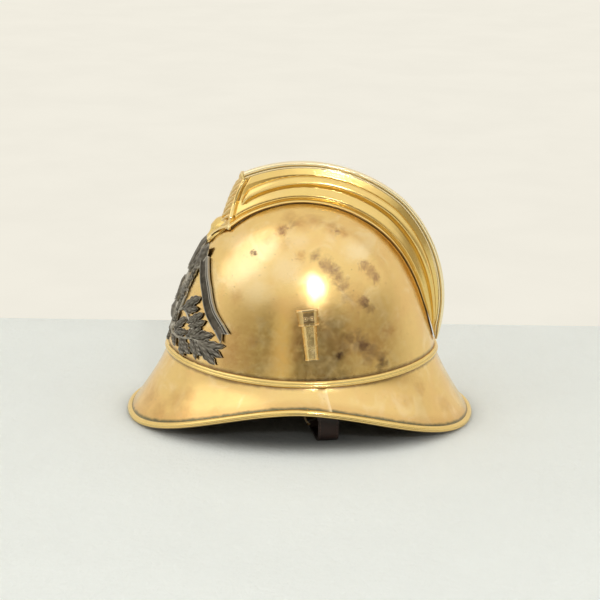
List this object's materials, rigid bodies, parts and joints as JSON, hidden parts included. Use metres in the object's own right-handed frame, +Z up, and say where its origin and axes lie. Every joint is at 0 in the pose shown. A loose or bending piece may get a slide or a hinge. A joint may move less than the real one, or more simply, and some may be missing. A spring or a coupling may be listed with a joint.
{
  "type": "brass firefighter helmet",
  "caption": "Sheet brass fire helmet with a raised crest, flared brim, relief badge, side plume socket, leather liner and buckled chin strap.",
  "frame": {"origin": "middle of the ground under the helmet as it stands on its brim", "axes": "+Z up, the front of the helmet faces -Y, the wearer's left is +X"},
  "size_m": [0.2544, 0.3418, 0.2509],
  "materials": {
    "brass": "polished sheet brass with an old patina",
    "crest_brass": "bright polished brass",
    "inner_brass": "dull unpolished brass",
    "pewter": "silvered relief, tarnished dark",
    "leather": "old dark brown leather",
    "liner_leather": "worn brown leather",
    "lace": "twisted linen lace"
  },
  "bodies": {
    "helmet": {"skull_shell": "brass", "front_peak": "brass", "neck_guard": "brass", "base_bead": "crest_brass", "brim_binding": "crest_brass", "base_rivets": "inner_brass", "crest_left_side": "crest_brass", "crest_right_side": "crest_brass", "crest_top_strip": "crest_brass", "crest_front_plate": "crest_brass", "crest_foot": "crest_brass", "crest_studs": "inner_brass", "crest_nuts": "inner_brass", "badge": "pewter", "badge_studs": "inner_brass", "badge_nuts": "inner_brass", "plume_socket": "crest_brass", "plume_socket_collar": "crest_brass", "socket_rivets": "brass", "liner_hoop": "inner_brass", "liner_band": "liner_leather", "liner_tongues": "liner_leather", "liner_lace": "lace", "liner_rivets": "inner_brass", "staple_left": "inner_brass", "staple_right": "inner_brass"},
    "ring_left": {"strap_ring_left": "inner_brass"},
    "ring_right": {"strap_ring_right": "inner_brass"},
    "strap_left": {"chin_strap_left": "leather"},
    "strap_right": {"chin_strap_right": "leather"},
    "buckle": {"buckle_frame": "inner_brass"},
    "prong": {"buckle_prong": "inner_brass"},
    "keeper": {"strap_keeper": "leather"}
  },
  "joints": [
    {"name": "ring_left_swing", "type": "hinge", "parent": "helmet", "child": "ring_left", "pos_m": [0.09696, 0.02747, 0.05686], "axis": [-0.1762, 0.9844, 0], "range_deg": [-12, 20]},
    {"name": "ring_right_swing", "type": "hinge", "parent": "helmet", "child": "ring_right", "pos_m": [-0.09696, 0.02747, 0.05686], "axis": [0.1762, 0.9844, 0], "range_deg": [-20, 12]},
    {"name": "strap_left_swing", "type": "hinge", "parent": "ring_left", "child": "strap_left", "pos_m": [0.09696, 0.02747, 0.04786], "axis": [-0.1762, 0.9844, 0], "range_deg": [-15, 45]},
    {"name": "strap_right_swing", "type": "hinge", "parent": "ring_right", "child": "strap_right", "pos_m": [-0.09696, 0.02747, 0.04786], "axis": [0.1762, 0.9844, 0], "range_deg": [-45, 15]},
    {"name": "buckle_fold", "type": "hinge", "parent": "strap_left", "child": "buckle", "pos_m": [0.05453, 0.01987, 0.0041], "axis": [-0.1762, 0.9844, 0], "range_deg": [-8, 120]},
    {"name": "prong_lift", "type": "hinge", "parent": "buckle", "child": "prong", "pos_m": [0.05453, 0.01987, 0.0041], "axis": [-0.1762, 0.9844, 0], "range_deg": [0, 110]},
    {"name": "keeper_slide", "type": "slide", "parent": "strap_left", "child": "keeper", "axis": [0, 0, 1], "range_m": [-0.01, 0.01]}
  ]
}
